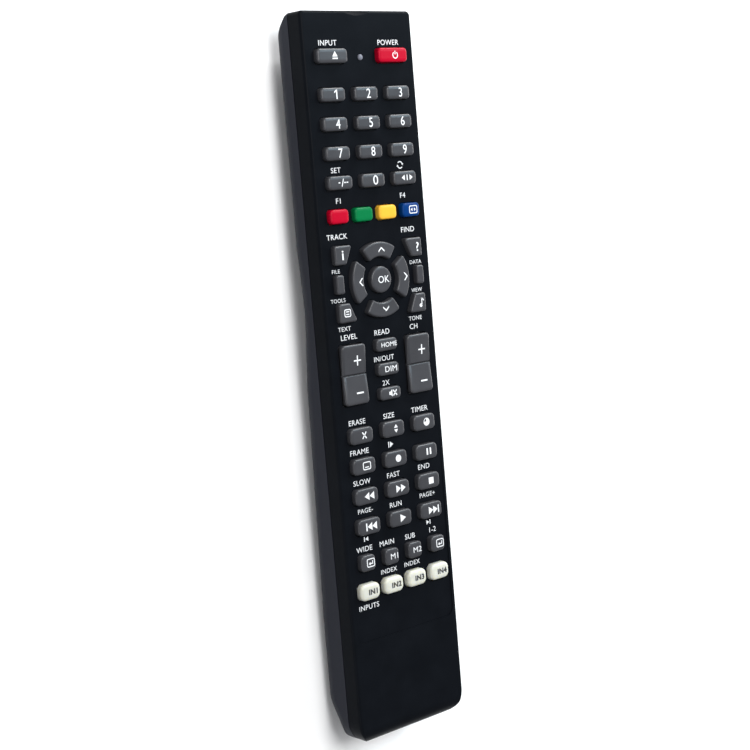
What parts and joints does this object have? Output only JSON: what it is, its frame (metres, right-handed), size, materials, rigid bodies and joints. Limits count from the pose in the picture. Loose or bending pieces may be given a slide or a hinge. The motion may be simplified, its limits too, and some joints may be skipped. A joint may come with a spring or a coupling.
{
  "type": "universal remote control",
  "caption": "Long slim infrared remote control with a dense grid of rubber keys, a ring of arrow keys, rocker keys and a sliding battery door.",
  "frame": {"origin": "bottom centre of the whole: middle of the width and of the length, at the height of the lowest underside", "axes": "+Z out of the key face, +Y along the body to the infrared end, +X to the right with the infrared end away from you"},
  "size_m": [0.0454, 0.2328, 0.02],
  "materials": {
    "shell_black": "fine moulded grain",
    "shell_charcoal": "spark-eroded texture",
    "silicone_grey": "moulded silicone",
    "board_green": "solder mask over glass fibre",
    "cell_jacket": "shrunk plastic film over steel",
    "key_grey": "matt silicone",
    "key_crimson": "matt silicone",
    "key_green": "matt silicone",
    "key_yellow": "matt silicone",
    "key_blue": "matt silicone",
    "key_cream": "matt silicone"
  },
  "bodies": {
    "case": {"front_shell": "shell_black", "back_shell": "shell_charcoal", "keypad_mat": "silicone_grey", "circuit_board": "board_green", "batteries": "cell_jacket"},
    "door": {"battery_door": "shell_charcoal"},
    "key_0_cap": {"key_0": "key_grey"},
    "key_1_cap": {"key_1": "key_grey"},
    "key_2_cap": {"key_2": "key_grey"},
    "key_3_cap": {"key_3": "key_grey"},
    "key_4_cap": {"key_4": "key_grey"},
    "key_5_cap": {"key_5": "key_grey"},
    "key_6_cap": {"key_6": "key_grey"},
    "key_7_cap": {"key_7": "key_grey"},
    "key_8_cap": {"key_8": "key_grey"},
    "key_9_cap": {"key_9": "key_grey"},
    "key_blue_cap": {"key_blue": "key_blue"},
    "key_clear_cap": {"key_clear": "key_grey"},
    "key_dash_cap": {"key_dash": "key_grey"},
    "key_down_cap": {"key_down": "key_grey"},
    "key_eject_cap": {"key_eject": "key_grey"},
    "key_forward_cap": {"key_forward": "key_grey"},
    "key_frame_cap": {"key_frame": "key_grey"},
    "key_green_cap": {"key_green": "key_green"},
    "key_help_cap": {"key_help": "key_grey"},
    "key_info_cap": {"key_info": "key_grey"},
    "key_left_cap": {"key_left": "key_grey"},
    "key_menu_cap": {"key_menu": "key_grey"},
    "key_mute_cap": {"key_mute": "key_grey"},
    "key_next_cap": {"key_next": "key_grey"},
    "key_ok_cap": {"key_ok": "key_grey"},
    "key_page_cap": {"key_page": "key_grey"},
    "key_pause_cap": {"key_pause": "key_grey"},
    "key_play_cap": {"key_play": "key_grey"},
    "key_power_cap": {"key_power": "key_crimson"},
    "key_previous_cap": {"key_previous": "key_grey"},
    "key_record_cap": {"key_record": "key_grey"},
    "key_red_cap": {"key_red": "key_crimson"},
    "key_rewind_cap": {"key_rewind": "key_grey"},
    "key_right_cap": {"key_right": "key_grey"},
    "key_saver_cap": {"key_saver": "key_grey"},
    "key_select_1_cap": {"key_select_1": "key_grey"},
    "key_select_2_cap": {"key_select_2": "key_grey"},
    "key_select_3_cap": {"key_select_3": "key_grey"},
    "key_select_4_cap": {"key_select_4": "key_grey"},
    "key_side_left_cap": {"key_side_left": "key_grey"},
    "key_side_right_cap": {"key_side_right": "key_grey"},
    "key_size_cap": {"key_size": "key_grey"},
    "key_source_1_cap": {"key_source_1": "key_cream"},
    "key_source_2_cap": {"key_source_2": "key_cream"},
    "key_source_3_cap": {"key_source_3": "key_cream"},
    "key_source_4_cap": {"key_source_4": "key_cream"},
    "key_stop_cap": {"key_stop": "key_grey"},
    "key_swap_cap": {"key_swap": "key_grey"},
    "key_timer_cap": {"key_timer": "key_grey"},
    "key_tone_cap": {"key_tone": "key_grey"},
    "key_up_cap": {"key_up": "key_grey"},
    "key_yellow_cap": {"key_yellow": "key_yellow"},
    "rocker_channel_cap": {"rocker_channel": "key_grey"},
    "rocker_volume_cap": {"rocker_volume": "key_grey"}
  },
  "joints": [
    {"name": "door_slide", "type": "slide", "parent": "case", "child": "door", "axis": [0, -1, 0], "range_m": [0, 0.05]},
    {"name": "key_0_press", "type": "slide", "parent": "case", "child": "key_0_cap", "axis": [0, 0, -1], "range_m": [0, 0.0008], "stiffness_N_per_m": 300},
    {"name": "key_1_press", "type": "slide", "parent": "case", "child": "key_1_cap", "axis": [0, 0, -1], "range_m": [0, 0.0008], "stiffness_N_per_m": 300},
    {"name": "key_2_press", "type": "slide", "parent": "case", "child": "key_2_cap", "axis": [0, 0, -1], "range_m": [0, 0.0008], "stiffness_N_per_m": 300},
    {"name": "key_3_press", "type": "slide", "parent": "case", "child": "key_3_cap", "axis": [0, 0, -1], "range_m": [0, 0.0008], "stiffness_N_per_m": 300},
    {"name": "key_4_press", "type": "slide", "parent": "case", "child": "key_4_cap", "axis": [0, 0, -1], "range_m": [0, 0.0008], "stiffness_N_per_m": 300},
    {"name": "key_5_press", "type": "slide", "parent": "case", "child": "key_5_cap", "axis": [0, 0, -1], "range_m": [0, 0.0008], "stiffness_N_per_m": 300},
    {"name": "key_6_press", "type": "slide", "parent": "case", "child": "key_6_cap", "axis": [0, 0, -1], "range_m": [0, 0.0008], "stiffness_N_per_m": 300},
    {"name": "key_7_press", "type": "slide", "parent": "case", "child": "key_7_cap", "axis": [0, 0, -1], "range_m": [0, 0.0008], "stiffness_N_per_m": 300},
    {"name": "key_8_press", "type": "slide", "parent": "case", "child": "key_8_cap", "axis": [0, 0, -1], "range_m": [0, 0.0008], "stiffness_N_per_m": 300},
    {"name": "key_9_press", "type": "slide", "parent": "case", "child": "key_9_cap", "axis": [0, 0, -1], "range_m": [0, 0.0008], "stiffness_N_per_m": 300},
    {"name": "key_blue_press", "type": "slide", "parent": "case", "child": "key_blue_cap", "axis": [0, 0, -1], "range_m": [0, 0.0008], "stiffness_N_per_m": 300},
    {"name": "key_clear_press", "type": "slide", "parent": "case", "child": "key_clear_cap", "axis": [0, 0, -1], "range_m": [0, 0.0008], "stiffness_N_per_m": 300},
    {"name": "key_dash_press", "type": "slide", "parent": "case", "child": "key_dash_cap", "axis": [0, 0, -1], "range_m": [0, 0.0008], "stiffness_N_per_m": 300},
    {"name": "key_down_press", "type": "slide", "parent": "case", "child": "key_down_cap", "axis": [0, 0, -1], "range_m": [0, 0.0008], "stiffness_N_per_m": 300},
    {"name": "key_eject_press", "type": "slide", "parent": "case", "child": "key_eject_cap", "axis": [0, 0, -1], "range_m": [0, 0.0008], "stiffness_N_per_m": 300},
    {"name": "key_forward_press", "type": "slide", "parent": "case", "child": "key_forward_cap", "axis": [0, 0, -1], "range_m": [0, 0.0008], "stiffness_N_per_m": 300},
    {"name": "key_frame_press", "type": "slide", "parent": "case", "child": "key_frame_cap", "axis": [0, 0, -1], "range_m": [0, 0.0008], "stiffness_N_per_m": 300},
    {"name": "key_green_press", "type": "slide", "parent": "case", "child": "key_green_cap", "axis": [0, 0, -1], "range_m": [0, 0.0008], "stiffness_N_per_m": 300},
    {"name": "key_help_press", "type": "slide", "parent": "case", "child": "key_help_cap", "axis": [0, 0, -1], "range_m": [0, 0.0008], "stiffness_N_per_m": 300},
    {"name": "key_info_press", "type": "slide", "parent": "case", "child": "key_info_cap", "axis": [0, 0, -1], "range_m": [0, 0.0008], "stiffness_N_per_m": 300},
    {"name": "key_left_press", "type": "slide", "parent": "case", "child": "key_left_cap", "axis": [0, 0, -1], "range_m": [0, 0.0008], "stiffness_N_per_m": 300},
    {"name": "key_menu_press", "type": "slide", "parent": "case", "child": "key_menu_cap", "axis": [0, 0, -1], "range_m": [0, 0.0008], "stiffness_N_per_m": 300},
    {"name": "key_mute_press", "type": "slide", "parent": "case", "child": "key_mute_cap", "axis": [0, 0, -1], "range_m": [0, 0.0008], "stiffness_N_per_m": 300},
    {"name": "key_next_press", "type": "slide", "parent": "case", "child": "key_next_cap", "axis": [0, 0, -1], "range_m": [0, 0.0008], "stiffness_N_per_m": 300},
    {"name": "key_ok_press", "type": "slide", "parent": "case", "child": "key_ok_cap", "axis": [0, 0, -1], "range_m": [0, 0.0008], "stiffness_N_per_m": 300},
    {"name": "key_page_press", "type": "slide", "parent": "case", "child": "key_page_cap", "axis": [0, 0, -1], "range_m": [0, 0.0008], "stiffness_N_per_m": 300},
    {"name": "key_pause_press", "type": "slide", "parent": "case", "child": "key_pause_cap", "axis": [0, 0, -1], "range_m": [0, 0.0008], "stiffness_N_per_m": 300},
    {"name": "key_play_press", "type": "slide", "parent": "case", "child": "key_play_cap", "axis": [0, 0, -1], "range_m": [0, 0.0008], "stiffness_N_per_m": 300},
    {"name": "key_power_press", "type": "slide", "parent": "case", "child": "key_power_cap", "axis": [0, 0, -1], "range_m": [0, 0.0008], "stiffness_N_per_m": 300},
    {"name": "key_previous_press", "type": "slide", "parent": "case", "child": "key_previous_cap", "axis": [0, 0, -1], "range_m": [0, 0.0008], "stiffness_N_per_m": 300},
    {"name": "key_record_press", "type": "slide", "parent": "case", "child": "key_record_cap", "axis": [0, 0, -1], "range_m": [0, 0.0008], "stiffness_N_per_m": 300},
    {"name": "key_red_press", "type": "slide", "parent": "case", "child": "key_red_cap", "axis": [0, 0, -1], "range_m": [0, 0.0008], "stiffness_N_per_m": 300},
    {"name": "key_rewind_press", "type": "slide", "parent": "case", "child": "key_rewind_cap", "axis": [0, 0, -1], "range_m": [0, 0.0008], "stiffness_N_per_m": 300},
    {"name": "key_right_press", "type": "slide", "parent": "case", "child": "key_right_cap", "axis": [0, 0, -1], "range_m": [0, 0.0008], "stiffness_N_per_m": 300},
    {"name": "key_saver_press", "type": "slide", "parent": "case", "child": "key_saver_cap", "axis": [0, 0, -1], "range_m": [0, 0.0008], "stiffness_N_per_m": 300},
    {"name": "key_select_1_press", "type": "slide", "parent": "case", "child": "key_select_1_cap", "axis": [0, 0, -1], "range_m": [0, 0.0008], "stiffness_N_per_m": 300},
    {"name": "key_select_2_press", "type": "slide", "parent": "case", "child": "key_select_2_cap", "axis": [0, 0, -1], "range_m": [0, 0.0008], "stiffness_N_per_m": 300},
    {"name": "key_select_3_press", "type": "slide", "parent": "case", "child": "key_select_3_cap", "axis": [0, 0, -1], "range_m": [0, 0.0008], "stiffness_N_per_m": 300},
    {"name": "key_select_4_press", "type": "slide", "parent": "case", "child": "key_select_4_cap", "axis": [0, 0, -1], "range_m": [0, 0.0008], "stiffness_N_per_m": 300},
    {"name": "key_side_left_press", "type": "slide", "parent": "case", "child": "key_side_left_cap", "axis": [0, 0, -1], "range_m": [0, 0.0008], "stiffness_N_per_m": 300},
    {"name": "key_side_right_press", "type": "slide", "parent": "case", "child": "key_side_right_cap", "axis": [0, 0, -1], "range_m": [0, 0.0008], "stiffness_N_per_m": 300},
    {"name": "key_size_press", "type": "slide", "parent": "case", "child": "key_size_cap", "axis": [0, 0, -1], "range_m": [0, 0.0008], "stiffness_N_per_m": 300},
    {"name": "key_source_1_press", "type": "slide", "parent": "case", "child": "key_source_1_cap", "axis": [0, 0, -1], "range_m": [0, 0.0008], "stiffness_N_per_m": 300},
    {"name": "key_source_2_press", "type": "slide", "parent": "case", "child": "key_source_2_cap", "axis": [0, 0, -1], "range_m": [0, 0.0008], "stiffness_N_per_m": 300},
    {"name": "key_source_3_press", "type": "slide", "parent": "case", "child": "key_source_3_cap", "axis": [0, 0, -1], "range_m": [0, 0.0008], "stiffness_N_per_m": 300},
    {"name": "key_source_4_press", "type": "slide", "parent": "case", "child": "key_source_4_cap", "axis": [0, 0, -1], "range_m": [0, 0.0008], "stiffness_N_per_m": 300},
    {"name": "key_stop_press", "type": "slide", "parent": "case", "child": "key_stop_cap", "axis": [0, 0, -1], "range_m": [0, 0.0008], "stiffness_N_per_m": 300},
    {"name": "key_swap_press", "type": "slide", "parent": "case", "child": "key_swap_cap", "axis": [0, 0, -1], "range_m": [0, 0.0008], "stiffness_N_per_m": 300},
    {"name": "key_timer_press", "type": "slide", "parent": "case", "child": "key_timer_cap", "axis": [0, 0, -1], "range_m": [0, 0.0008], "stiffness_N_per_m": 300},
    {"name": "key_tone_press", "type": "slide", "parent": "case", "child": "key_tone_cap", "axis": [0, 0, -1], "range_m": [0, 0.0008], "stiffness_N_per_m": 300},
    {"name": "key_up_press", "type": "slide", "parent": "case", "child": "key_up_cap", "axis": [0, 0, -1], "range_m": [0, 0.0008], "stiffness_N_per_m": 300},
    {"name": "key_yellow_press", "type": "slide", "parent": "case", "child": "key_yellow_cap", "axis": [0, 0, -1], "range_m": [0, 0.0008], "stiffness_N_per_m": 300},
    {"name": "rocker_channel_rock", "type": "hinge", "parent": "case", "child": "rocker_channel_cap", "pos_m": [0.01374, 0.00375, 0.0161], "axis": [1, 0, 0], "range_deg": [-4, 4], "stiffness_Nm_per_rad": 0.02},
    {"name": "rocker_volume_rock", "type": "hinge", "parent": "case", "child": "rocker_volume_cap", "pos_m": [-0.01374, 0.00375, 0.0161], "axis": [1, 0, 0], "range_deg": [-4, 4], "stiffness_Nm_per_rad": 0.02}
  ]
}
